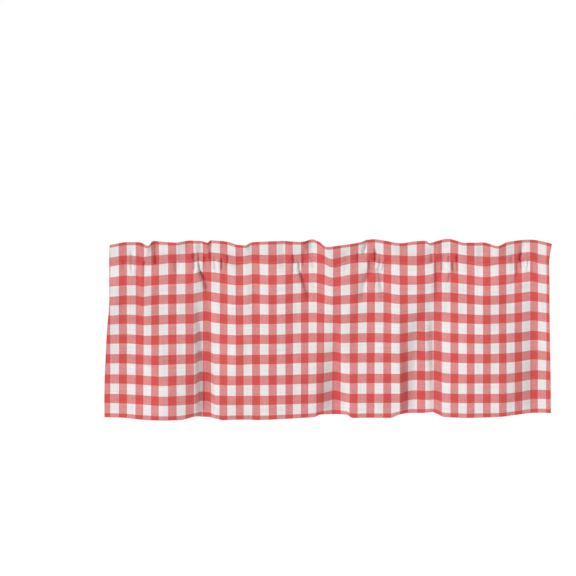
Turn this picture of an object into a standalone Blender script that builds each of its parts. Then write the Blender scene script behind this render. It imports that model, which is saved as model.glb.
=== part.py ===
"""Gathered rod-pocket window valance: a gingham panel with its turned-down heading strip.

Frame: +X runs along the top edge, to the right of someone facing the valance, +Z is up and -Y is
the front. The origin is the middle of the top edge. The cloth hangs as if on a straight rod: a
ruffled header stands above the rod, the rod pocket is an open tunnel from end to end, and below
it the panel hangs in uneven soft folds that are many at the heading and few at the hem.
"""

import bpy
import numpy as np

MM = 0.001

# Driving dimensions.
DROP = 450 * MM  # top edge of the header down to the hem
HEADER = 49 * MM  # ruffle above the gathering stitches
POCKET = 73 * MM  # rod pocket, from the gathering stitches to the lower seam
CLOTH = 1.2 * MM  # one layer
TURNED_IN = 1.0 * MM  # what a hem adds to one layer
BOTTOM_HEM = 25 * MM
SIDE_HEM = 13 * MM
HEM_STEP = 2 * MM  # over which a hem's extra thickness comes in
GAP = 0.3 * MM  # between the panel and the strip sewn to it

SEAM = HEADER + POCKET
MIDDLE = 240 * MM
LOW = 415 * MM  # below it the hem curls

# One row for each crest, shoulder or trough, from left to right, in millimetres. The x columns say
# where the fold line runs at the top edge, at the lower seam, half-way down and at the hem. rise,
# pull and lift are how far the top edge, the gathering line and the hem stand above their means.
# The top, seam, mid and hem columns are how far the cloth comes forward at those four levels.
FOLD_COLUMNS = "x_top x_seam x_mid x_hem rise pull top seam mid hem lift".split()
FOLDS = (
    (-549, -551, -560, -568, -2, -4, 2, 4, -5, -18, 4.5),
    (-508, -513, -513, -518, 4, 1, -4, -4, -9, -12, 3),
    (-478, -486, -486, -478, 3.5, -1, -3, -3, -4, -3, -0.5),
    (-453, -468, -460, -448, -3.5, -2, 9, 7, 5, 8, -1.5),
    (-438, -441, -435, -417, 6, -1.5, -2, -2, 4, 16, -1.5),
    (-385, -392, -392, -377, 3, 3, 2, -7, -2, 9, -1),
    (-347, -347, -342, -340, 6, 3, -6, -10, -4, -2, 6),
    (-324, -327, -326, -325, 4.5, 6, -2, -18, -29, -33, 2),
    (-304, -311, -308, -307, 2, 4, 5, -25, -27, -29, 1.5),
    (-294, -290, -290, -286, 6, 6, -8, -18, -8, 8, 1.5),
    (-252, -266, -275, -270, 2, 3, -2, -8, -2, 10, -2),
    (-229, -231, -231, -242, -4, -3, 6, 6, 11, 14, -1),
    (-209, -209, -207, -207, -5, -1, 9, 3, 6, 12, -1),
    (-191, -188, -186, -181, 1, 1, -3, -6, 4, 14, -2),
    (-121, -146, -140, -136, 4, -2, 2, 1, 6, 12, -1),
    (-68, -78, -75, -70, 2, 0, 1, -8, -4, 5, 1.5),
    (-43, -40, -40, -40, 4, 1, -13, -11, -6, 2, 3),
    (-25, -15, -18, -22, 1, -1, -2, 1, -4, -3, 8.5),
    (-5, 10, 12, 12, -9.5, -10, 12, 16, -4, -34, 5.5),
    (45, 38, 32, 40, -5, -5, 6, 8, 5, -8, 7.5),
    (73, 63, 56, 60, -2, 0, 1, 1, 1, 2, 0),
    (111, 108, 108, 108, 5.5, 1, -8, -9, -3, 2, 0),
    (143, 134, 138, 151, 2, -3, -3, -8, 0, 3, -0.5),
    (181, 181, 171, 176, -3.5, -5, 5, 7, 6, 3, 8),
    (212, 218, 194, 192, 0.5, -7, 1, 5, -3, -16, 8.5),
    (242, 252, 220, 216, 2.5, -4, 4, 1, -16, -28, 7.5),
    (254, 274, 246, 256, -3, 0, 8, -7, -8, -18, 9.5),
    (299, 304, 268, 272, 5, 0, -7, -5, -9, -14, 5),
    (342, 347, 296, 290, -3.5, -5, 2, 7, 1, 4, 0.5),
    (387, 392, 382, 357, -3.5, -10, 3, 17, 18, 11, -1),
    (422, 433, 433, 428, -10.5, -5, 10, 11, 13, 12, 1),
    (450, 468, 468, 463, -2, -4, 4, 3, 5, 1, 4),
    (503, 503, 508, 513, 2, 1, -4, -8, -13, -26, 6),
    (546, 533, 536, 541, -4, -6, 2, 3, -4, -24, 6),
    (559, 553, 554, 557, -7, -8, 6, 10, 7, -20, 5.5),
)

# How the folds are held at each level down the cloth: its drop, x column, forward column and the
# share of it that shows there, and the column and share that say how much higher the cloth stands.
# The gathering stitches hold the folds shallow, and a crest hangs a little lower than a trough.
LEVELS = (
    (0 * MM, "x_top", "top", 1.0, "rise", 1.0),
    (HEADER, "x_seam", "seam", 0.35, "pull", 1.0),
    (SEAM, "x_seam", "seam", 0.65, "seam", -0.29),
    (MIDDLE, "x_mid", "mid", 0.85, "mid", -0.11),
    (LOW, "x_hem", "hem", 1.0, "hem", -0.04),
    (DROP, "x_hem", "hem", 0.6, "lift", 1.0),
)

# The mean cross-section of the front layer: it is drawn back at the gathering stitches and bulges
# over the rod. Columns: drop and how far forward, in millimetres.
FRONT_SECTION = (
    (0, -4),
    (37, -9),
    (49, -11),
    (62, -8),
    (80, -3),
    (105, 4),
    (122, 2.5),
    (158, 2),
    (190, 0),
    (450, 0),
)

# Where the strip stands off the panel to leave the tunnel. Columns: drop in millimetres and how
# much of the way it is to the tunnel's back, from 0 on the panel to 1.
STRIP_SECTION = ((0, 0), (49, 0), (57, 1), (86, 1), (103, 0.6), (122, 0), (128, 0))
TUNNEL_BACK = 38 * MM  # Y of the strip's inner face behind the rod
BACK_WAVE = 0.12  # how much the strip there follows the folds at the seam

# Rows of the grid below the top edge, in millimetres. The strip shares the panel's upper rows.
HEADING_ROWS = (0, 12, 28, 42, 49, 57, 70, 86, 103, 116, 122, 128)
HANGING_ROWS = (158, 200, 240, 290, 345, 388, 415)
LONGEST_COLUMN_STEP = 24 * MM
CLEAR_OF_HEM = 0.1  # least way from a side hem to the next column, in rows of the fold table


def column(name):
    """One column of the fold table, in metres."""
    return np.array([row[FOLD_COLUMNS.index(name)] for row in FOLDS]) * MM


def monotone(knots, values, at):
    """Cubic through the values at the knots that never overshoots them. Rows of values are knots."""
    knots = np.asarray(knots, float)
    values = np.asarray(values, float)
    if values.ndim == 1:
        return monotone(knots, values[:, None], at)[:, 0]
    step = np.diff(knots)[:, None]
    slope = np.diff(values, axis=0) / step
    before, after = slope[:-1], slope[1:]
    same_way = before * after > 0
    total = np.where(same_way, before + after, 1.0)
    inner = np.where(same_way, 2 * before * after / total, 0.0)
    tangent = np.vstack([slope[:1], inner, slope[-1:]])
    k = np.clip(np.searchsorted(knots, at, side="right") - 1, 0, len(knots) - 2)
    width = step[k]
    t = (np.asarray(at)[:, None] - knots[k, None]) / width
    return (
        values[k] * (2 * t**3 - 3 * t**2 + 1)
        + tangent[k] * width * (t**3 - 2 * t**2 + t)
        + values[k + 1] * (3 * t**2 - 2 * t**3)
        + tangent[k + 1] * width * (t**3 - t**2)
    )


def down(values, drops):
    """Interpolates one row of values for each level to one row for each drop."""
    return monotone([level[0] for level in LEVELS], values, drops)


def section(points, drops):
    """A cross-section table read at the drops, with its first column in millimetres."""
    return monotone([p[0] * MM for p in points], [p[1] for p in points], drops)


def grid_columns():
    """Places along the fold table, as fractional row numbers, with a pair at each side hem."""
    lines = column("x_seam")
    places = []
    for number, width in enumerate(np.diff(lines)):
        steps = int(np.ceil(width / LONGEST_COLUMN_STEP))
        places += [number + k / steps for k in range(steps)]
    last = len(lines) - 1
    first_width = lines[1] - lines[0]
    last_width = lines[-1] - lines[-2]
    left = [SIDE_HEM / first_width, (SIDE_HEM + HEM_STEP) / first_width]
    right = [last - (SIDE_HEM + HEM_STEP) / last_width, last - SIDE_HEM / last_width]
    inner = [p for p in places if left[1] + CLEAR_OF_HEM < p < right[0] - CLEAR_OF_HEM]
    return np.array([0.0] + left + inner + right + [float(last)])


def front_surface(columns, drops):
    """Points of the panel's front face, as an array of rows by columns by (x, y, z)."""
    lines = np.arange(len(FOLDS))
    xs, waves, lifts = [], [], []
    for _, x_column, depth_column, depth_share, lift_column, lift_share in LEVELS:
        xs.append(monotone(lines, column(x_column), columns))
        waves.append(depth_share * monotone(lines, column(depth_column), columns))
        lifts.append(lift_share * monotone(lines, column(lift_column), columns))
    forward = down(waves, drops) + section(FRONT_SECTION, drops)[:, None] * MM
    height = down(lifts, drops) - drops[:, None]
    return np.stack([down(xs, drops), -forward, height], axis=-1)


def normals(surface):
    """Unit normals of a grid of points, pointing to the back."""
    across = np.gradient(surface, axis=1)
    downward = np.gradient(surface, axis=0)
    normal = np.cross(across, downward)
    return normal / np.linalg.norm(normal, axis=-1, keepdims=True)


def hem_share(surface, drops):
    """1 where the cloth is turned in on itself, along the sides and the bottom, and 0 elsewhere."""
    from_side = np.zeros(surface.shape[1])
    from_side[:2] = 1
    from_side[-2:] = 1
    in_bottom_hem = drops >= DROP - BOTTOM_HEM
    return np.maximum(from_side[None, :], in_bottom_hem[:, None]).astype(float)


def closed_sheet(front, back):
    """Vertices and faces of the solid between two grids of points, wound with faces outwards."""
    rows, columns = front.shape[:2]
    points = np.concatenate([front.reshape(-1, 3), back.reshape(-1, 3)])

    def at(side, r, c):
        return side * rows * columns + r * columns + c

    faces = []
    for r in range(rows - 1):
        for c in range(columns - 1):
            corners = ((r, c), (r + 1, c), (r + 1, c + 1), (r, c + 1))
            faces.append([at(0, *corner) for corner in corners])
            faces.append([at(1, *corner) for corner in reversed(corners)])
    rim = [(0, c) for c in range(columns - 1)]
    rim += [(r, columns - 1) for r in range(rows - 1)]
    rim += [(rows - 1, c) for c in range(columns - 1, 0, -1)]
    rim += [(r, 0) for r in range(rows - 1, 0, -1)]
    for here, there in zip(rim, rim[1:] + rim[:1]):
        faces.append([at(0, *here), at(0, *there), at(1, *there), at(1, *here)])
    return points, faces


def add_object(name, front, back, material):
    points, faces = closed_sheet(front, back)
    mesh = bpy.data.meshes.new(name)
    mesh.from_pydata(points.tolist(), [], faces)
    mesh.materials.append(material)
    mesh.validate()
    obj = bpy.data.objects.new(name, mesh)
    bpy.context.scene.collection.objects.link(obj)
    obj.modifiers.new("triangles", "TRIANGULATE").quad_method = "SHORTEST_DIAGONAL"
    mesh.shade_smooth()


def cloth_material(name, colour):
    material = bpy.data.materials.new(name)
    material.use_nodes = True
    shader = material.node_tree.nodes["Principled BSDF"]
    shader.inputs["Base Color"].default_value = (*colour, 1.0)
    shader.inputs["Roughness"].default_value = 0.85
    shader.inputs["Metallic"].default_value = 0.0
    return material


PANEL_COLOUR = (0.79, 0.32, 0.31)
STRIP_COLOUR = (0.74, 0.28, 0.27)


def main():
    for obj in list(bpy.data.objects):
        bpy.data.objects.remove(obj, do_unlink=True)

    hem_rows = (DROP - BOTTOM_HEM - HEM_STEP, DROP - BOTTOM_HEM, DROP)
    drops = np.array([row * MM for row in HEADING_ROWS + HANGING_ROWS] + list(hem_rows))
    front = front_surface(grid_columns(), drops)
    to_back = normals(front)
    thickness = CLOTH + TURNED_IN * hem_share(front, drops)[..., None]
    back = front + to_back * thickness
    add_object("panel", front, back, cloth_material("panel_cloth", PANEL_COLOUR))

    heading = slice(0, len(HEADING_ROWS))
    inner = (back + to_back * GAP)[heading].copy()
    on_seam = monotone(np.arange(len(FOLDS)), column("seam"), grid_columns())
    tunnel_back = TUNNEL_BACK - BACK_WAVE * on_seam[None, :]
    stand_off = section(STRIP_SECTION, drops[heading])[:, None]
    inner[..., 1] += (tunnel_back - inner[..., 1]) * stand_off
    outer = inner + normals(inner) * CLOTH
    add_object("heading_strip", inner, outer, cloth_material("strip_cloth", STRIP_COLOUR))


main()
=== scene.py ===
"""Looks of the gathered gingham window valance: one cut of cloth, its stitches, and a plain stage."""

import math

import bpy
import numpy as np
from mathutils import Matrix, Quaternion, Vector


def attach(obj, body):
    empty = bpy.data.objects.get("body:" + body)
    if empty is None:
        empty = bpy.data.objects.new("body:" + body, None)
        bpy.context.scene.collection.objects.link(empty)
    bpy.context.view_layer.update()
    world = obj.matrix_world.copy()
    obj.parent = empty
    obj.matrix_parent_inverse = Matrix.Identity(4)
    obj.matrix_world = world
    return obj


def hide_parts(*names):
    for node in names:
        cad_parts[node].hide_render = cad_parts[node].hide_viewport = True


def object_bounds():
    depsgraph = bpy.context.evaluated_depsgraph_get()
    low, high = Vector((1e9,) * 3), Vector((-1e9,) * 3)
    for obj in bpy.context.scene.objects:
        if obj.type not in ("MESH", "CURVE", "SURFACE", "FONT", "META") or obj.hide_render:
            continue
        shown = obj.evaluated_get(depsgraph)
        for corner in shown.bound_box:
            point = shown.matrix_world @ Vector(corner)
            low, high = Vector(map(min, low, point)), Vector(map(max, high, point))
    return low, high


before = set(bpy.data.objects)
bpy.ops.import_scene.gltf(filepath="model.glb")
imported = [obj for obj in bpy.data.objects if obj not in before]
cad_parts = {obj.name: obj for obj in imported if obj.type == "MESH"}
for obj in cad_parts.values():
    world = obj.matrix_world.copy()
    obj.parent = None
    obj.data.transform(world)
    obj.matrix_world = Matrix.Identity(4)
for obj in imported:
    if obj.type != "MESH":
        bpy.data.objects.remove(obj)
CAD_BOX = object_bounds()

MM = 0.001

# ---------------------------------------------------------------------------------------------
# Sizes, the same as the solids'
# ---------------------------------------------------------------------------------------------
DROP = 450 * MM  # top edge of the header down to the hem
HEADER = 49 * MM  # ruffle above the gathering stitches
SEAM = 122 * MM  # lower seam of the rod pocket
STRIP_END = 128 * MM  # lower edge of the turned-down strip
STRIP_TUCK = 6 * MM  # what the strip has tucked in there
BOTTOM_HEM = 25 * MM
SIDE_HEM = 13 * MM
MIDDLE = 240 * MM  # half-way down, where the folds have changed from those at the seam
LOW = 415 * MM  # below it the hem curls
LAYER = 1.5 * MM  # from the panel's face to the strip's face behind it
HEM_LAYER = 0.8 * MM  # from the panel's face to the hem turned up behind it
SIDE_LAYER = 0.4 * MM  # from a face to the side hem turned in behind it
HEM_STITCHES = DROP - BOTTOM_HEM + 2 * MM  # drop of the bottom hem's stitches
SIDE_STITCHES = SIDE_HEM - 2 * MM  # from the cloth's side edge
STITCH_PITCH = 3.0 * MM
STITCH_LENGTH = 2.4 * MM
THREAD = 0.36 * MM  # thickness
THREAD_SIDES = 5
# Along one stitch, in stitch lengths from its middle: place, share of the thread's thickness
# there, and how far its middle stands off the cloth, in thicknesses. Its ends dive into the cloth.
STITCH_RINGS = ((-0.5, 0.35, -0.2), (-0.34, 1, 0.22), (0.34, 1, 0.22), (0.5, 0.35, -0.2))
STITCH_MARGIN = 1.5 * MM  # from a side edge to a row of stitches that ends there
ROW_SAMPLES = 2400  # points that a row of stitches across the cloth is measured on
# Where along the lower seam the cloth's mesh is fine enough for creases, in millimetres: from, to.
CREASED = (
    (-508, -430), (-398, -376), (-350, -250), (-105, -46), (66, 142), (250, 328), (450, 514),
)
FINE_COLUMN = 0.95  # millimetres from one column of the mesh to the next
PLAIN_COLUMN = 3.4
PLACE_SAMPLES = 4001  # points that the columns are spaced along
HEM_COLUMNS = 6  # columns of a turned-in side hem

# Fold lines from left to right, in millimetres. The x columns say where each runs at the top edge,
# the lower seam, half-way down and the hem; rise, pull and lift how far the top edge, the gathering
# line and the hem stand above their means; and the rest how far the cloth comes forward.
FOLD_COLUMNS = "x_top x_seam x_mid x_hem rise pull top seam mid hem lift".split()
FOLDS = (
    (-549, -551, -560, -568, -2, -4, 2, 4, -5, -18, 4.5),
    (-508, -513, -513, -518, 4, 1, -4, -4, -9, -12, 3),
    (-478, -486, -486, -478, 3.5, -1, -3, -3, -4, -3, -0.5),
    (-453, -468, -460, -448, -3.5, -2, 9, 7, 5, 8, -1.5),
    (-438, -441, -435, -417, 6, -1.5, -2, -2, 4, 16, -1.5),
    (-385, -392, -392, -377, 3, 3, 2, -7, -2, 9, -1),
    (-347, -347, -342, -340, 6, 3, -6, -10, -4, -2, 6),
    (-324, -327, -326, -325, 4.5, 6, -2, -18, -29, -33, 2),
    (-304, -311, -308, -307, 2, 4, 5, -25, -27, -29, 1.5),
    (-294, -290, -290, -286, 6, 6, -8, -18, -8, 8, 1.5),
    (-252, -266, -275, -270, 2, 3, -2, -8, -2, 10, -2),
    (-229, -231, -231, -242, -4, -3, 6, 6, 11, 14, -1),
    (-209, -209, -207, -207, -5, -1, 9, 3, 6, 12, -1),
    (-191, -188, -186, -181, 1, 1, -3, -6, 4, 14, -2),
    (-121, -146, -140, -136, 4, -2, 2, 1, 6, 12, -1),
    (-68, -78, -75, -70, 2, 0, 1, -8, -4, 5, 1.5),
    (-43, -40, -40, -40, 4, 1, -13, -11, -6, 2, 3),
    (-25, -15, -18, -22, 1, -1, -2, 1, -4, -3, 8.5),
    (-5, 10, 12, 12, -9.5, -10, 12, 16, -4, -34, 5.5),
    (45, 38, 32, 40, -5, -5, 6, 8, 5, -8, 7.5),
    (73, 63, 56, 60, -2, 0, 1, 1, 1, 2, 0),
    (111, 108, 108, 108, 5.5, 1, -8, -9, -3, 2, 0),
    (143, 134, 138, 151, 2, -3, -3, -8, 0, 3, -0.5),
    (181, 181, 171, 176, -3.5, -5, 5, 7, 6, 3, 8),
    (212, 218, 194, 192, 0.5, -7, 1, 5, -3, -16, 8.5),
    (242, 252, 220, 216, 2.5, -4, 4, 1, -16, -28, 7.5),
    (254, 274, 246, 256, -3, 0, 8, -7, -8, -18, 9.5),
    (299, 304, 268, 272, 5, 0, -7, -5, -9, -14, 5),
    (342, 347, 296, 290, -3.5, -5, 2, 7, 1, 4, 0.5),
    (387, 392, 382, 357, -3.5, -10, 3, 17, 18, 11, -1),
    (422, 433, 433, 428, -10.5, -5, 10, 11, 13, 12, 1),
    (450, 468, 468, 463, -2, -4, 4, 3, 5, 1, 4),
    (503, 503, 508, 513, 2, 1, -4, -8, -13, -26, 6),
    (546, 533, 536, 541, -4, -6, 2, 3, -4, -24, 6),
    (559, 553, 554, 557, -7, -8, 6, 10, 7, -20, 5.5),
)

# Drop, x column, forward column and its share there, height column and its share.
LEVELS = (
    (0 * MM, "x_top", "top", 1.0, "rise", 1.0),
    (HEADER, "x_seam", "seam", 0.35, "pull", 1.0),
    (SEAM, "x_seam", "seam", 0.65, "seam", -0.29),
    (MIDDLE, "x_mid", "mid", 0.85, "mid", -0.11),
    (LOW, "x_hem", "hem", 1.0, "hem", -0.04),
    (DROP, "x_hem", "hem", 0.6, "lift", 1.0),
)

# Mean cross-sections, in millimetres of drop: how far the front comes forward, and how much of
# the way the strip stands off the panel to the tunnel's back.
FRONT_SECTION = (
    (0, -4),
    (37, -9),
    (49, -11),
    (62, -8),
    (80, -3),
    (105, 4),
    (122, 2.5),
    (158, 2),
    (190, 0),
    (450, 0),
)
STRIP_SECTION = ((0, 0), (49, 0), (57, 1), (86, 1), (103, 0.6), (122, 0), (128, 0))
TUNNEL_BACK = 38 * MM
BACK_WAVE = 0.12  # how much the strip there follows the folds at the seam
LOOSENESS = 0.8 * MM  # height of the slight waves in the strip behind the tunnel

# Creases and puckers, in millimetres: from (x0, drop0) to (x1, drop1), how far each pushes forward
# (a trough is negative), and its half-width. They were chosen one by one over the photo. Most were
# then moved 0.9 of their half-width to the right, since the light shades their left wall, and many
# troughs deepened by a quarter, to match the photo's shade. No depth here was measured.
CREASES = (
    # x0, drop0, x1, drop1, push, half-width
    # left end
    (-529, 0, -529, 165, 4, 11),
    (-495, 26, -492, 56, -4.5, 2.2),
    (-502.5, 44, -499.5, 74, 2, 3),
    (-480, 14, -486, 44, 3, 4.5),
    (-487.5, 60, -479.5, 84, -2.5, 3),
    (-469.5, 2, -461.5, 22, -5, 2.6),
    (-462.5, 44, -462.5, 56, -5.5, 1.6),
    (-460, 56, -463, 84, -5.5, 3.6),
    (-435.5, 4, -435.5, 34, -6, 2.6),
    (-435, 30, -435, 52, -7.5, 2),
    (-383, 50, -382, 78, -5.5, 3.6),
    (-382.5, 50, -358.5, 43, -2, 1.6),
    # the main pleat
    (-319, 0, -319, 30, -10, 7),
    (-327, 38, -327, 62, -9, 1.3),
    (-327, 62, -324.5, 79, -12, 1.4),
    (-322, 52, -320, 72, 3, 2.2),
    (-324, 79, -314, 99, -15, 2.2),
    (-314, 99, -307, 128, -11, 3),
    (-329, 170, -328, 445, 1.5, 6),
    (-226, 20, -230, 240, -6.5, 14),
    (-343, 26, -332, 4, 3, 3.4),
    (-339, 30, -338, 46, -7.5, 2.2),
    (-326, 26, -326, 54, -6, 3.6),
    (-337.5, 50, -337.5, 74, -7, 1.5),
    (-332, 54, -330, 74, 3, 2.4),
    (-312.5, 38, -311.5, 48, -5, 1.5),
    (-337, 4, -335, 30, 2.5, 5.5),
    (-380.5, 4, -380.5, 30, 2.5, 6),
    (-353.5, 4, -353.5, 30, -3, 6),
    (-298, 26, -298, 50, -6, 2.2),
    (-285.5, 50, -284.5, 76, -5.5, 2.6),
    (-278.5, 50, -277.5, 74, 2.5, 3),
    (-269.5, 47, -269, 72, -7.5, 1.5),
    (-256, 50, -257, 72, -4, 2.4),
    (-253.5, 34, -253.5, 56, -7.5, 1.7),
    (-267.5, 2, -237.5, 14, -3, 2.6),
    (-229.5, 36, -209.5, 9, 2.6, 1.8),
    (-231.5, 18, -227.5, 34, -4, 5),
    # second pleat
    (-114, 2, -114, 66, -8, 8),
    (-90, 34, -88, 56, -8, 2),
    (-89.5, 58, -86.5, 80, -4.5, 3),
    (-77.5, 36, -75.5, 54, -4, 3),
    (-75, 54, -75.5, 72, -10, 1.7),
    (-78.5, 54, -78.5, 72, 2.4, 2.6),
    (-75.5, 70, -68, 94, -11, 1.8),
    (-68, 92, -60, 118, -10.5, 2.4),
    (-59.5, 116, -51.5, 148, -8.5, 3.4),
    (-63.5, 46, -63.5, 60, -5, 1.8),
    (-40, 0, -43, 34, -6, 7.5),
    (-62.5, 24, -60.5, 48, -4, 4),
    # right of the middle
    (12, 70, 14, 165, -7.5, 15),
    (12, 190, 10, 300, -5, 14),
    (176, 4, 176, 34, -5, 8),
    (105, 74, 87, 116, -10, 6),
    (125, 76, 134, 122, -9, 5),
    (41.5, 18, 46.5, 46, -3.5, 4),
    (42, 60, 39, 80, -3, 4),
    (74, 30, 73, 52, -5, 2.4),
    (95.5, 2, 87.5, 30, -10, 2.8),
    (101.5, 52, 101.5, 76, -8, 1.6),
    (89, 108, 85, 150, -8, 6.5),
    (117, 24, 116, 52, -9.5, 2),
    (110, 54, 110, 76, -3, 2),
    (118.5, 76, 119.5, 108, -5, 2.6),
    (127.5, 46, 127.5, 54, -5, 1.6),
    (128.5, 56, 123.5, 78, -6, 1.9),
    (138, 50, 135.5, 70, -6, 1.8),
    (133.5, 114, 137.5, 148, -6, 6),
    # third pleat
    (263, 4, 263, 34, -7.5, 8),
    (261, 200, 263, 445, -11, 8),
    (259.5, 32, 258.5, 52, -7.5, 2.8),
    (263.5, 51, 271.5, 49, -2.5, 1.5),
    (270, 52, 270, 92, -6, 2.2),
    (271.5, 88, 271.5, 130, -6.5, 3.4),
    (274, 80, 273, 140, -4, 5.5),
    (285, 54, 284.5, 80, -7, 1.8),
    (300.5, 40, 300.5, 50, -4.5, 1.5),
    (304.5, 80, 300.5, 102, -5, 1.7),
    (311.5, 54, 311.5, 80, -7.5, 1.7),
    (318, 56, 318, 78, 2, 2.4),
    (322.5, 34, 321.5, 54, -7, 1.9),
    (324, 56, 324, 76, -4, 2.4),
    (281.5, 4, 279.5, 34, -3, 6),
    (323.5, 4, 323.5, 34, -3, 6),
    # right end
    (385, 4, 385, 34, -6, 7),
    (424, 2, 424, 34, 4, 6),
    (425, 80, 425, 170, 3, 9),
    (490, 120, 490, 445, 5, 12),
    (463.5, 8, 463.5, 34, -2.5, 6),
    (460.5, 34, 458.5, 52, -4, 3),
    (491, 6, 484, 32, -4.5, 4.5),
    (483, 30, 479, 44, -10, 2.2),
    (478.5, 44, 482, 54, -10, 2),
    (474, 54, 473, 86, -7, 2.4),
    (472, 82, 463, 108, -4, 4.5),
    (503, 52, 498, 76, -4, 2.2),
    (512, 54, 512, 78, -3, 2),
)

CREASE_REACH = 7  # half-widths to each side within which a crease is worked out
CREASE_MARGIN = 0.35  # the same past its ends, in its lengths
CREASE_RUN_OUT = 0.25  # how far it carries on past its ends, in its lengths
CREASE_FADE = 0.4  # over how much of its length it fades in and out

# Where the gathering thread bunches the cloth: x, spread and number of small extra puckers.
BUNCHES = (
    (-486, 18, 6),
    (-300, 24, 5),
    (-83, 20, 4),
    (115, 20, 5),
    (290, 24, 6),
    (483, 18, 5),
)

# The small grooves that the rows of stitches pull: drop, then depth and half-width in millimetres.
GROOVES = ((HEADER, 1.1, 2.2), (SEAM, 0.35, 1.8), (HEM_STITCHES, 0.3, 1.6))

# Gingham: one check up and down the cloth, and a pair of checks across it as it hangs.
CHECK = 25.4 * MM
ROW_PHASE = 3.6 * MM  # drop at which the first white row starts
RED_ROW = 0.48  # share of a pair of rows that is red
RED_COLUMN = 0.495
PAIR_HUNG = 41.34 * MM
PAIR_FLAT = 2 * CHECK
FIRST_WHITE = -550.4 * MM  # X of the first white column's left edge
# How far the gathers pull the check columns to the right, in millimetres: x, then the shift at the
# heading and at the hem.
COLUMN_SHIFT = (
    (-563, 2, -3), (-498, 3, -2), (-468, 5, -2.5), (-438, 0.5, -4.5), (-392, 2.5, -1),
    (-332, 5, 2), (-302, 7.5, 3), (-272, 8, 3), (-212, 5, 3), (-151, 5.5, 3), (-121, 7, 4),
    (-60, 4.5, 0.5), (0, 3, -3), (30, 2, -0.5), (60, 4.5, 0), (121, 5.5, 1.5), (181, 4, 3),
    (242, 6.5, 6), (302, 7.5, 6), (392, 6, 5), (452, 3, 3.5), (513, 0.5, 1), (561, 0.5, -1),
)
# How far down the check rows come late, in millimetres: drop, then how late.
ROW_SHIFT = (
    (0, 3.6), (12, 3), (29, 0.8), (45, 0), (70, 0),
    (160, -0.6), (290, -0.6), (345, 1.8), (450, 2.2),
)


# ---------------------------------------------------------------------------------------------
# The cloth's shape
# ---------------------------------------------------------------------------------------------
def column(name):
    """One column of the fold table, in metres."""
    return np.array([row[FOLD_COLUMNS.index(name)] for row in FOLDS]) * MM


def monotone(knots, values, at):
    """Cubic through the values at the knots that never overshoots them. Rows of values are knots."""
    knots = np.asarray(knots, float)
    values = np.asarray(values, float)
    if values.ndim == 1:
        return monotone(knots, values[:, None], at)[:, 0]
    step = np.diff(knots)[:, None]
    slope = np.diff(values, axis=0) / step
    before, after = slope[:-1], slope[1:]
    same_way = before * after > 0
    total = np.where(same_way, before + after, 1.0)
    inner = np.where(same_way, 2 * before * after / total, 0.0)
    tangent = np.vstack([slope[:1], inner, slope[-1:]])
    k = np.clip(np.searchsorted(knots, at, side="right") - 1, 0, len(knots) - 2)
    width = step[k]
    t = (np.asarray(at)[:, None] - knots[k, None]) / width
    return (
        values[k] * (2 * t**3 - 3 * t**2 + 1)
        + tangent[k] * width * (t**3 - 2 * t**2 + t)
        + values[k + 1] * (3 * t**2 - 2 * t**3)
        + tangent[k + 1] * width * (t**3 - t**2)
    )


def down(values, drops):
    return monotone([level[0] for level in LEVELS], values, drops)


def section(points, drops):
    return monotone([p[0] * MM for p in points], [p[1] for p in points], drops)


def all_creases():
    """The listed creases and the small puckers of each bunch, in metres."""
    chance = np.random.default_rng(11)
    rows = [list(crease) for crease in CREASES]
    # Each small pucker runs from above the gathering stitches to below them, leaning outwards. Its
    # numbers are in millimetres.
    for x, spread, count in BUNCHES:
        for k in range(count):
            at = x + spread * chance.normal()
            up = chance.uniform(4, 20)
            below = chance.uniform(6, 26)
            lean = (at - x) / spread * chance.uniform(0, 3) + chance.normal() * 1.5
            push = chance.uniform(1.2, 3.2) * (1 if k % 2 else -1.2)
            start = (at - 0.6 * lean, HEADER / MM - up)
            rows.append([*start, at + lean, HEADER / MM + below, push, chance.uniform(2.0, 3.4)])
    return np.array(rows) * MM


CREASE_ROWS = all_creases()


def crease_depth(x, drop):
    """How far the creases push the cloth forward at each point of two arrays of the same shape."""
    trough, ridge = np.zeros_like(x), np.zeros_like(x)
    for x0, drop0, x1, drop1, push, half_width in CREASE_ROWS:
        along = np.array([x1 - x0, drop1 - drop0])
        length = np.linalg.norm(along)
        ux, ud = along / length
        reach = CREASE_REACH * half_width
        margin = CREASE_MARGIN * length
        near = (x > min(x0, x1) - reach) & (x < max(x0, x1) + reach)
        near &= (drop > drop0 - margin) & (drop < drop1 + margin)
        if not near.any():
            continue
        px, pd = x[near] - x0, drop[near] - drop0
        t = (px * ux + pd * ud) / length
        across = (px * ud - pd * ux) / half_width
        fade_in = np.clip((t + CREASE_RUN_OUT) / CREASE_FADE, 0, 1)
        fade_out = np.clip((1 + CREASE_RUN_OUT - t) / CREASE_FADE, 0, 1)
        ends = fade_in * fade_out
        ends = ends * ends * (3 - 2 * ends)
        pushed = push * ends / np.cosh(across)
        if push < 0:
            trough[near] = np.minimum(trough[near], pushed)
        else:
            ridge[near] = np.maximum(ridge[near], pushed)
    return trough + ridge


def unevenness(x, drop):
    """Slow, shallow waves that keep the cloth from looking pressed.

    Each has its height in millimetres and its radians per metre across and down."""
    wave = 0.5 * np.sin(x * 61 + 1.3 * np.sin(drop * 9) + 0.4)
    wave += 0.35 * np.sin(x * 113 - drop * 4 + 2.1)
    wave += 0.3 * np.sin(x * 31 + drop * 17 + 4.0)
    wave += 0.12 * np.sin(x * 190 + drop * 23) * np.clip(1.4 - drop / 0.2, 0.2, 1)
    return wave * MM


def stitched_in(drop):
    """How deep the rows of stitches pull the cloth in."""
    groove = 0
    for stitched_at, depth, half_width in GROOVES:
        groove = groove + depth * np.exp(-(((drop - stitched_at) / (half_width * MM)) ** 2))
    return groove * MM


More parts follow.
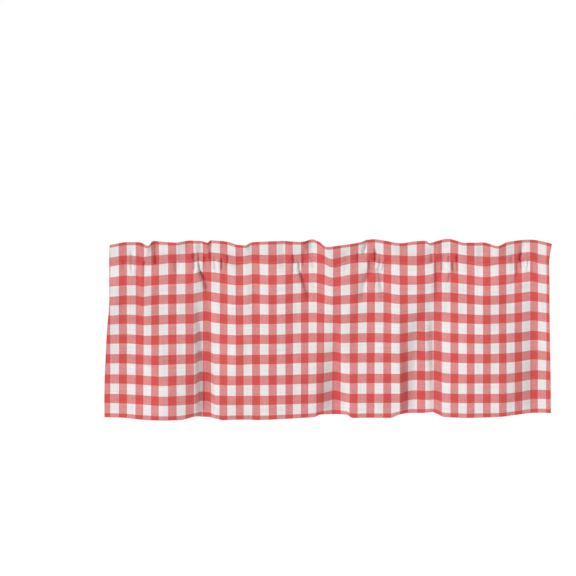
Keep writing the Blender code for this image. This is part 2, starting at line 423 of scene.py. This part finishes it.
def smooth_front(places, drops):
    """The panel's face without its creases: points as rows by columns by (x, y, z)."""
    lines = np.arange(len(FOLDS))
    xs, waves, lifts = [], [], []
    for _, x_column, depth_column, depth_share, lift_column, lift_share in LEVELS:
        xs.append(monotone(lines, column(x_column), places))
        waves.append(depth_share * monotone(lines, column(depth_column), places))
        lifts.append(lift_share * monotone(lines, column(lift_column), places))
    forward = down(waves, drops) + section(FRONT_SECTION, drops)[:, None] * MM
    height = down(lifts, drops) - drops[:, None]
    return np.stack([down(xs, drops), -forward, height], axis=-1)


def front(places, drops):
    """The panel's face with its creases."""
    points = smooth_front(places, drops)
    x = points[..., 0]
    drop = np.broadcast_to(drops[:, None], x.shape)
    points[..., 1] -= crease_depth(x, drop) + unevenness(x, drop) - stitched_in(drop)
    return points


# Half-steps over which slopes are measured, down the cloth and along the fold table.
DROP_STEP = 0.6 * MM
PLACE_STEP = 0.01


def frame_of(surface, places, drops):
    """Unit vectors across, down and towards the back of a surface function."""
    across = surface(places + PLACE_STEP, drops) - surface(places - PLACE_STEP, drops)
    downward = surface(places, drops + DROP_STEP) - surface(places, drops - DROP_STEP)
    across /= np.linalg.norm(across, axis=-1, keepdims=True)
    downward /= np.linalg.norm(downward, axis=-1, keepdims=True)
    back = np.cross(across, downward)
    back /= np.linalg.norm(back, axis=-1, keepdims=True)
    return across, downward, back


def strip(places, drops):
    """The turned-down strip's face: it lies on the panel's back except round the tunnel."""
    points = front(places, drops)
    points += frame_of(front, places, drops)[2] * LAYER
    seam_wave = monotone(np.arange(len(FOLDS)), column("seam"), places)
    tunnel_back = TUNNEL_BACK - BACK_WAVE * seam_wave[None, :]
    stand_off = section(STRIP_SECTION, drops)[:, None]
    loose = LOOSENESS * np.sin(points[..., 0] * 75 + points[..., 2] * 30) * stand_off
    points[..., 1] += (tunnel_back - points[..., 1]) * stand_off + loose
    return points


def behind(surface, layer):
    """The surface a layer behind another."""
    return lambda places, drops: surface(places, drops) + frame_of(surface, places, drops)[2] * layer


bottom_hem = behind(front, HEM_LAYER)


# How far apart the mesh's rows are from each drop on, in millimetres: drop, spacing. The last drop
# is where they end.
PANEL_SPACING = (
    (0, 3), (34, 1.5), (64, 2.6), (102, 4.5), (118, 1.3), (126, 6.5), (423, 1.3), (431, 3), (450, 1),
)
HEM_SPACING = ((425, 1.2), (430, 5), (450, 1))
STRIP_SPACING = ((0, 4), (42, 2.4), (62, 4.5), (116, 1.5), (128, 1))

ROUND_A_FOLD = np.radians((45, 90, 135))


def spaced(stops):
    """Drops from one stop to the next, each with its own spacing. stops: (drop, spacing) in mm."""
    rows = []
    for (start, spacing), (end, _) in zip(stops, stops[1:]):
        count = max(1, round((end - start) / spacing))
        rows += [start + (end - start) * k / count for k in range(count)]
    return np.array(rows + [stops[-1][0]]) * MM


def fold_over(start, outward, turn, half_gap):
    """Three rows that go round a fold, from the side of start, and their way inwards."""
    centre = start - outward * half_gap
    rows, inwards = [], []
    for angle in ROUND_A_FOLD:
        out = outward * math.cos(angle) + turn * math.sin(angle)
        rows.append(centre + out * half_gap)
        inwards.append(-out)
    return np.array(rows), np.array(inwards)


def panel_rows(places):
    """The panel from behind its top edge, down the face and round the hem.

    Returns points, unit vectors across and towards the wrong side, and each row's drop on the
    flat cloth."""
    drops = spaced(PANEL_SPACING)
    face = front(places, drops)
    across, downward, back = frame_of(front, places, drops)
    turned_up = spaced(HEM_SPACING)[::-1]
    hem_across, _, hem_back = frame_of(front, places, turned_up)
    folded = bottom_hem(places, turned_up)

    over, over_in = fold_over(face[0], -back[0], -downward[0], LAYER / 2)
    under, under_in = fold_over(face[-1], -back[-1], downward[-1], HEM_LAYER / 2)
    points = np.concatenate([over[::-1], face, under, folded])
    ways_across = np.concatenate([across[:1]] * 3 + [across] + [across[-1:]] * 3 + [hem_across])
    wrong = np.concatenate([over_in[::-1], back, under_in, -hem_back])
    flat = np.concatenate([np.zeros(3), drops, np.full(3, DROP), 2 * DROP - turned_up])
    return points, ways_across, wrong, flat


def strip_rows(places):
    """The turned-down strip, from its tucked-in lower edge up to behind the top edge."""
    tucked = STRIP_END - STRIP_TUCK + np.array((0, 2, 4)) * MM
    drops = spaced(STRIP_SPACING)[::-1]
    tucked_across, _, tucked_back = frame_of(strip, places, tucked)
    across, _, back = frame_of(strip, places, drops)
    points = np.concatenate([strip(places, tucked) - tucked_back * LAYER / 2, strip(places, drops)])
    ways_across = np.concatenate([tucked_across, across])
    wrong = np.concatenate([tucked_back, -back])
    flat = np.concatenate([tucked - 2 * STRIP_END, -drops])
    return points, ways_across, wrong, flat


LAST_LINE = len(FOLDS) - 1
SIDES = ((0, 1), (LAST_LINE, -1))  # the row of each side edge in the fold table, and its way inwards


def in_from(edge, inward, distance):
    """The place in the fold table that lies a distance in from a side edge."""
    lines = column("x_seam")
    return edge + inward * distance / abs(lines[edge + inward] - lines[edge])


def hem_columns(edge, inward):
    """Columns of one turned-in side edge, from its inner end to the fold.

    Each is its place in the fold table, how far behind the face and how far out past the edge it
    lies, and how much cloth is turned in there."""
    inner = np.linspace(SIDE_HEM, 0, HEM_COLUMNS)
    rows = [(in_from(edge, inward, s), SIDE_LAYER, 0.0, s) for s in inner]
    for angle in ROUND_A_FOLD:
        depth = SIDE_LAYER / 2 * (1 + math.cos(angle))
        rows.append((edge, depth, SIDE_LAYER / 2 * math.sin(angle), 0.0))
    return rows


def flat_across(x, drop):
    """Place across the flat cloth of a point that hangs at x, in pairs of checks."""
    knots = [row[0] * MM for row in COLUMN_SHIFT]
    shifts = monotone(knots, [row[1:] for row in COLUMN_SHIFT], x.ravel()).reshape(*x.shape, 2)
    low = np.clip((drop - HEADER) / (DROP - HEADER), 0, 1)
    shift = shifts[..., 0] * (1 - low) + shifts[..., 1] * low
    return (x - shift * MM - FIRST_WHITE) / PAIR_HUNG


def flat_down(drop):
    """Place down the flat cloth, in metres from the top edge."""
    late = monotone([row[0] * MM for row in ROW_SHIFT], [row[1] for row in ROW_SHIFT], np.abs(drop))
    return drop - late * MM


def column_places():
    """Where the mesh's columns run, as places in the fold table: close together at the creases."""
    dense = np.linspace(0, LAST_LINE, PLACE_SAMPLES)
    x = monotone(np.arange(len(FOLDS)), column("x_seam"), dense)
    spacing = np.full(len(x), PLAIN_COLUMN)
    for start, end in CREASED:
        spacing[(x > start * MM) & (x < end * MM)] = FINE_COLUMN
    passed = np.concatenate([[0], np.cumsum(np.diff(x) / (spacing[1:] * MM))])
    return np.interp(np.linspace(0, passed[-1], round(passed[-1])), passed, dense)


def cloth_grid(rows_of):
    """Points and flat coordinates of every vertex of one piece of cloth, as rows by columns."""
    inner = column_places()
    left, right = (hem_columns(edge, inward) for edge, inward in SIDES)
    right = right[::-1]
    table = [(*row, -1) for row in left]
    table += [(place, 0.0, 0.0, 0.0, 0) for place in inner]
    table += [(*row, 1) for row in right]
    place, depth, out, tucked, side = np.array(table, float).T

    points, across, wrong, drop = rows_of(place)
    pairs = flat_across(points[..., 0], np.abs(drop)[:, None])
    points = points + wrong * depth[:, None] + across * (out * side)[:, None]
    # The part turned in carries on past the fold instead of coming back.
    edge = np.where(side < 0, pairs[:, [len(left)]], pairs[:, [-len(right) - 1]])
    pairs = np.where(side == 0, pairs, edge + side * tucked / PAIR_HUNG)
    down_cloth = np.broadcast_to(flat_down(drop)[:, None], pairs.shape)
    return points, np.stack([pairs * PAIR_FLAT, down_cloth], -1)


def grid_mesh(name, points, flat):
    """A mesh of quads through a grid of points, with the flat coordinates as its UVs, in metres."""
    rows, columns = points.shape[:2]
    index = np.arange(rows * columns).reshape(rows, columns)
    quads = np.stack([index[:-1, :-1], index[1:, :-1], index[1:, 1:], index[:-1, 1:]], -1)
    quads = quads.reshape(-1, 4)
    mesh = bpy.data.meshes.new(name)
    mesh.vertices.add(rows * columns)
    mesh.vertices.foreach_set("co", points.reshape(-1).astype(np.float32))
    mesh.loops.add(quads.size)
    mesh.loops.foreach_set("vertex_index", quads.reshape(-1).astype(np.int32))
    mesh.polygons.add(len(quads))
    mesh.polygons.foreach_set("loop_start", np.arange(0, quads.size, 4, dtype=np.int32))
    layer = mesh.uv_layers.new(name="flat")
    uv = flat.reshape(-1, 2)[quads.reshape(-1)]
    layer.data.foreach_set("uv", uv.reshape(-1).astype(np.float32))
    mesh.update(calc_edges=True)
    mesh.validate()
    mesh.shade_smooth()
    obj = bpy.data.objects.new(name, mesh)
    bpy.context.scene.collection.objects.link(obj)
    return obj


# ---------------------------------------------------------------------------------------------
# Stitches
# ---------------------------------------------------------------------------------------------
def stitch_run(surface, places, drops, facing):
    """A row of stitches along a line on a surface: their middles, ways along and ways outward.

    facing is -1 for stitches seen from the front and 1 for those seen from behind."""
    path = surface(places, drops).reshape(-1, 3)
    outward = facing * frame_of(surface, places, drops)[2].reshape(-1, 3)
    passed = np.concatenate([[0], np.cumsum(np.linalg.norm(np.diff(path, axis=0), axis=1))])
    middles = (np.arange(int(passed[-1] / STITCH_PITCH)) + 0.5) * STITCH_PITCH

    def at(values, distances):
        return np.stack([np.interp(distances, passed, values[:, k]) for k in range(3)], -1)

    along = at(path, middles + STITCH_LENGTH / 2) - at(path, middles - STITCH_LENGTH / 2)
    along /= np.linalg.norm(along, axis=1, keepdims=True)
    out = at(outward, middles)
    out -= along * (out * along).sum(axis=1, keepdims=True)
    out /= np.linalg.norm(out, axis=1, keepdims=True)
    return np.stack([at(path, middles), along, out], axis=1)


def stitches(name, runs):
    """One piece with every stitch of some runs, each a short thread."""
    middle, along, out = np.concatenate(runs).transpose(1, 0, 2)
    side = np.cross(along, out)
    rings = []
    for place, thickness, height in STITCH_RINGS:
        centre = middle + along * place * STITCH_LENGTH + out * height * THREAD
        for turn in np.arange(THREAD_SIDES) * math.tau / THREAD_SIDES:
            round_it = out * math.cos(turn) + side * math.sin(turn)
            rings.append(centre + round_it * thickness * THREAD / 2)
    points = np.stack(rings, axis=1)

    corner = np.arange(len(rings)).reshape(-1, THREAD_SIDES)
    following = np.roll(corner, -1, axis=1)
    walls = np.stack([corner[:-1], following[:-1], following[1:], corner[1:]], axis=-1)
    one = walls.reshape(-1, 4).tolist() + [corner[0][::-1].tolist(), corner[-1].tolist()]
    faces = [[len(rings) * n + k for k in face] for n in range(len(points)) for face in one]
    mesh = bpy.data.meshes.new(name)
    mesh.from_pydata(points.reshape(-1, 3).tolist(), [], faces)
    mesh.update(calc_edges=True)
    mesh.shade_smooth()
    obj = bpy.data.objects.new(name, mesh)
    bpy.context.scene.collection.objects.link(obj)
    return obj


def across_runs(surface, drops, facing):
    """A row of stitches from side to side at each drop."""
    ends = [in_from(edge, inward, STITCH_MARGIN) for edge, inward in SIDES]
    places = np.linspace(*ends, ROW_SAMPLES)
    return [stitch_run(surface, places, np.array([drop]), facing) for drop in drops]


def side_runs(surface, drops, facing):
    """A row of stitches down each side hem, along some drops."""
    places = [np.array([in_from(edge, inward, SIDE_STITCHES)]) for edge, inward in SIDES]
    return [stitch_run(surface, place, drops, facing) for place in places]


def panel_stitches():
    margin = 2 * MM
    whole_side = np.linspace(margin, DROP - margin, 400)
    below_strip = np.linspace(STRIP_END + margin, DROP - BOTTOM_HEM - margin, 300)
    runs = across_runs(front, (HEADER, SEAM, HEM_STITCHES), -1)
    runs += across_runs(bottom_hem, (HEM_STITCHES,), 1)
    runs += side_runs(front, whole_side, -1)
    runs += side_runs(behind(front, SIDE_LAYER), below_strip, 1)
    return runs


def strip_stitches():
    margin = 3 * MM
    whole_side = np.linspace(margin, STRIP_END - margin, 120)
    return across_runs(strip, (HEADER, SEAM), 1) + side_runs(strip, whole_side, 1)


# ---------------------------------------------------------------------------------------------
# Materials
# ---------------------------------------------------------------------------------------------
WHITE, RED = (0.73, 0.703, 0.7), (0.58, 0.068, 0.065)
YARN = 0.55 * MM  # from one yarn to the next
YARN_WANDER = 0.9 * MM
YARN_SHADES = 0.22  # how much lighter and darker single yarns are
CROSSING = 2.2  # how sharply one yarn gives way to the other where they cross
STAIN = 0.6  # how much of the red a white yarn takes up where it crosses red ones
STRIPE_EDGE = 0.012  # soft edge of a stripe, in pairs of checks
WHOLE_TURNS = 4  # added to keep the place across the cloth above zero at the hems


def node(tree, kind, **inputs):
    """A shader node with some of its inputs set."""
    made = tree.nodes.new(kind)
    for key, value in inputs.items():
        made.inputs[key].default_value = value
    return made


def maths(tree, operation, first, second=None, clamp=False):
    """The output of a maths node on two values, each a number or another output."""
    made = tree.nodes.new("ShaderNodeMath")
    made.operation = operation
    made.use_clamp = clamp
    for slot_number, value in enumerate((first, second)):
        if value is None:
            continue
        if isinstance(value, (int, float)):
            made.inputs[slot_number].default_value = value
        else:
            tree.links.new(value, made.inputs[slot_number])
    return made.outputs[0]


def mixed(tree, amount, first, second, blend="MIX"):
    """The output of a mix of two colours, each a tuple or another output."""
    made = tree.nodes.new("ShaderNodeMix")
    made.data_type = "RGBA"
    made.blend_type = blend
    factor, colour_1, colour_2 = (made.inputs[number] for number in (0, 6, 7))
    for socket, value in ((factor, amount), (colour_1, first), (colour_2, second)):
        if isinstance(value, (int, float)):
            socket.default_value = value
        elif isinstance(value, tuple):
            socket.default_value = (*value, 1.0)
        else:
            tree.links.new(value, socket)
    return made.outputs[2]


def band(tree, place, start, share):
    """1 where the fractional part of place lies past start, over share of a turn, with soft edges."""
    turn = maths(tree, "FRACT", maths(tree, "SUBTRACT", place, start - WHOLE_TURNS))
    rise = maths(tree, "DIVIDE", turn, STRIPE_EDGE, clamp=True)
    fall = maths(tree, "DIVIDE", maths(tree, "SUBTRACT", share, turn), STRIPE_EDGE, clamp=True)
    return maths(tree, "MULTIPLY", rise, fall)


def gingham():
    """Plain-weave gingham: stripes of red yarn both ways over white.

    Its checks are red where two red stripes cross and pink where a red and a white one do."""
    material = bpy.data.materials.new("gingham_cloth")
    material.use_nodes = True
    tree = material.node_tree
    shader = tree.nodes["Principled BSDF"]
    place = tree.nodes.new("ShaderNodeUVMap")
    place.uv_map = "flat"
    parts = tree.nodes.new("ShaderNodeSeparateXYZ")
    tree.links.new(place.outputs[0], parts.inputs[0])
    u, v = parts.outputs[0], parts.outputs[1]

    # Yarns wander a little, and each has its own shade.
    wander = node(tree, "ShaderNodeTexNoise", Scale=90.0, Detail=2.0)
    tree.links.new(place.outputs[0], wander.inputs["Vector"])
    drift = maths(tree, "MULTIPLY", maths(tree, "SUBTRACT", wander.outputs[0], 0.5), YARN_WANDER)
    u_drift = maths(tree, "ADD", u, drift)
    v_drift = maths(tree, "SUBTRACT", v, drift)

    across = maths(tree, "DIVIDE", u_drift, PAIR_FLAT)
    downward = maths(tree, "DIVIDE", v_drift, PAIR_FLAT)
    red_warp = band(tree, across, 1 - RED_COLUMN, RED_COLUMN)
    red_weft = band(tree, downward, ROW_PHASE / PAIR_FLAT - RED_ROW, RED_ROW)

    # Which yarn is on top, over one and under one, as soft squares.
    warp_wave = maths(tree, "SINE", maths(tree, "MULTIPLY", u_drift, math.pi / YARN))
    weft_wave = maths(tree, "SINE", maths(tree, "MULTIPLY", v_drift, math.pi / YARN))
    over = maths(tree, "MULTIPLY", warp_wave, weft_wave)
    warp_on_top = maths(tree, "ADD", maths(tree, "MULTIPLY", over, CROSSING), 0.5, clamp=True)
    top_red = maths(
        tree,
        "ADD",
        maths(tree, "MULTIPLY", warp_on_top, red_warp),
        maths(tree, "MULTIPLY", maths(tree, "SUBTRACT", 1.0, warp_on_top), red_weft),
    )
    either = maths(tree, "MAXIMUM", red_warp, red_weft)
    stained = maths(tree, "MULTIPLY", either, STAIN)
    amount = maths(tree, "MAXIMUM", top_red, stained)
    colour = mixed(tree, amount, WHITE, RED)

    # Thicker and thinner yarns: streaks along the warp and the weft.
    streaks = []
    for stretch in ((900.0, 14.0, 1.0), (14.0, 900.0, 1.0), (260.0, 9.0, 1.0), (9.0, 260.0, 1.0)):
        scaled = node(tree, "ShaderNodeMapping")
        scaled.inputs["Scale"].default_value = stretch
        tree.links.new(place.outputs[0], scaled.inputs["Vector"])
        noise = node(tree, "ShaderNodeTexNoise", Scale=1.0, Detail=1.0)
        tree.links.new(scaled.outputs[0], noise.inputs["Vector"])
        streaks.append(noise.outputs[0])
    streak = maths(tree, "ADD", maths(tree, "ADD", streaks[0], streaks[1]), streaks[2])
    streak = maths(tree, "ADD", streak, streaks[3])
    # The four streaks average 2 together.
    shade = maths(tree, "MULTIPLY", maths(tree, "SUBTRACT", streak, 2.0), YARN_SHADES)
    shade = maths(tree, "ADD", shade, 1.0)
    shaded = node(tree, "ShaderNodeCombineXYZ")
    for socket in shaded.inputs:
        tree.links.new(shade, socket)
    colour = mixed(tree, 1.0, colour, shaded.outputs[0], "MULTIPLY")
    tree.links.new(colour, shader.inputs["Base Color"])

    rough = maths(tree, "ADD", maths(tree, "MULTIPLY", wander.outputs[0], 0.14), 0.74)
    tree.links.new(rough, shader.inputs["Roughness"])
    shader.inputs["Specular IOR Level"].default_value = 0.25
    shader.inputs["Sheen Weight"].default_value = 0.12
    shader.inputs["Sheen Roughness"].default_value = 0.5

    # Yarns stand up where they cross over.
    height = maths(tree, "ABSOLUTE", over)
    height = maths(tree, "ADD", height, maths(tree, "MULTIPLY", streak, 0.5))
    bump = node(tree, "ShaderNodeBump", Strength=0.35, Distance=0.12 * MM)
    tree.links.new(height, bump.inputs["Height"])
    tree.links.new(bump.outputs[0], shader.inputs["Normal"])
    return material


def sewing_thread():
    """Matte spun thread, pale pink, a little uneven."""
    material = bpy.data.materials.new("sewing_thread")
    material.use_nodes = True
    tree = material.node_tree
    shader = tree.nodes["Principled BSDF"]
    place = tree.nodes.new("ShaderNodeTexCoord")
    spun = node(tree, "ShaderNodeTexNoise", Scale=2600.0, Detail=1.0)
    tree.links.new(place.outputs["Object"], spun.inputs["Vector"])
    colour = mixed(tree, spun.outputs[0], (0.70, 0.43, 0.41), (0.86, 0.62, 0.60))
    tree.links.new(colour, shader.inputs["Base Color"])
    shader.inputs["Roughness"].default_value = 0.7
    shader.inputs["Specular IOR Level"].default_value = 0.3
    bump = node(tree, "ShaderNodeBump", Strength=0.4, Distance=0.05 * MM)
    tree.links.new(spun.outputs[0], bump.inputs["Height"])
    tree.links.new(bump.outputs[0], shader.inputs["Normal"])
    return material


# ---------------------------------------------------------------------------------------------
# Stage
# ---------------------------------------------------------------------------------------------
def plain_material(name, colour, roughness):
    material = bpy.data.materials.new(name)
    material.use_nodes = True
    shader = material.node_tree.nodes["Principled BSDF"]
    shader.inputs["Base Color"].default_value = (*colour, 1.0)
    shader.inputs["Roughness"].default_value = roughness
    return material


def add_floor():
    half, level = 300.0, -2.2
    corners = [(-half, -half, level), (half, -half, level), (half, half, level), (-half, half, level)]
    mesh = bpy.data.meshes.new("floor")
    mesh.from_pydata(corners, [], [(0, 1, 2, 3)])
    mesh.materials.append(plain_material("floor_paint", (0.98, 0.98, 0.98), 0.9))
    floor = bpy.data.objects.new("floor", mesh)
    bpy.context.scene.collection.objects.link(floor)


def add_light():
    world = bpy.data.worlds.new("soft_room")
    world.use_nodes = True
    sky = world.node_tree.nodes["Background"]
    sky.inputs["Color"].default_value = (1.0, 1.0, 1.0, 1.0)
    sky.inputs["Strength"].default_value = 0.44
    bpy.context.scene.world = world

    # name, energy, width in degrees, direction towards the light
    for name, energy, width, towards in (
        ("side_light", 1.5, 7, (-0.85, -1.0, 0.5)),
        ("top_light", 1.35, 40, (0.0, -0.1, 1.0)),
    ):
        lamp = bpy.data.lights.new(name, "SUN")
        lamp.energy = energy
        lamp.angle = math.radians(width)
        light = bpy.data.objects.new(name, lamp)
        light.rotation_mode = "QUATERNION"
        light.rotation_quaternion = Vector(towards).to_track_quat("Z", "Y")
        bpy.context.scene.collection.objects.link(light)


def add_camera():
    """Nearly square on, a little above, through a long lens."""
    elevation = math.radians(12)
    roll = math.radians(0.45)
    lens, sensor = 500.0, 36.0
    field = 1.4485  # metres across the picture at the cloth
    distance = field * lens / sensor
    low, high = CAD_BOX
    centre = (low + high) / 2
    away = Vector((0, -math.cos(elevation), math.sin(elevation)))
    right = Vector((1, 0, 0))
    up = away.cross(right)
    # The valance hangs a little right of and below the picture's middle, by these shares of it.
    off_right, off_below = 0.0684, 0.0712
    aim = centre - right * off_right * field + up * off_below * field
    data = bpy.data.cameras.new("camera")
    data.lens = lens
    data.sensor_width = sensor
    data.clip_end = 1000
    camera = bpy.data.objects.new("camera", data)
    camera.rotation_mode = "QUATERNION"
    camera.location = aim + away * distance
    turn = away.to_track_quat("Z", "Y")
    camera.rotation_quaternion = turn @ Quaternion((0, 0, 1), -roll)
    bpy.context.scene.collection.objects.link(camera)
    bpy.context.scene.camera = camera
    bpy.context.scene.view_settings.view_transform = "Standard"


def main():
    add_camera()
    add_light()
    add_floor()

    cloth, thread = gingham(), sewing_thread()
    panel_length, strip_length = DROP + BOTTOM_HEM, STRIP_END + STRIP_TUCK
    for name, replaced, rows_of, length, runs in (
        ("gingham_panel", "panel", panel_rows, panel_length, panel_stitches()),
        ("gingham_heading_strip", "heading_strip", strip_rows, strip_length, strip_stitches()),
    ):
        piece = grid_mesh(name, *cloth_grid(rows_of))
        piece.data.materials.append(cloth)
        sewn = stitches(name + "_stitches", runs)
        sewn.data.materials.append(thread)
        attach(piece, "root")
        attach(sewn, "root")
        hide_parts(replaced)


main()
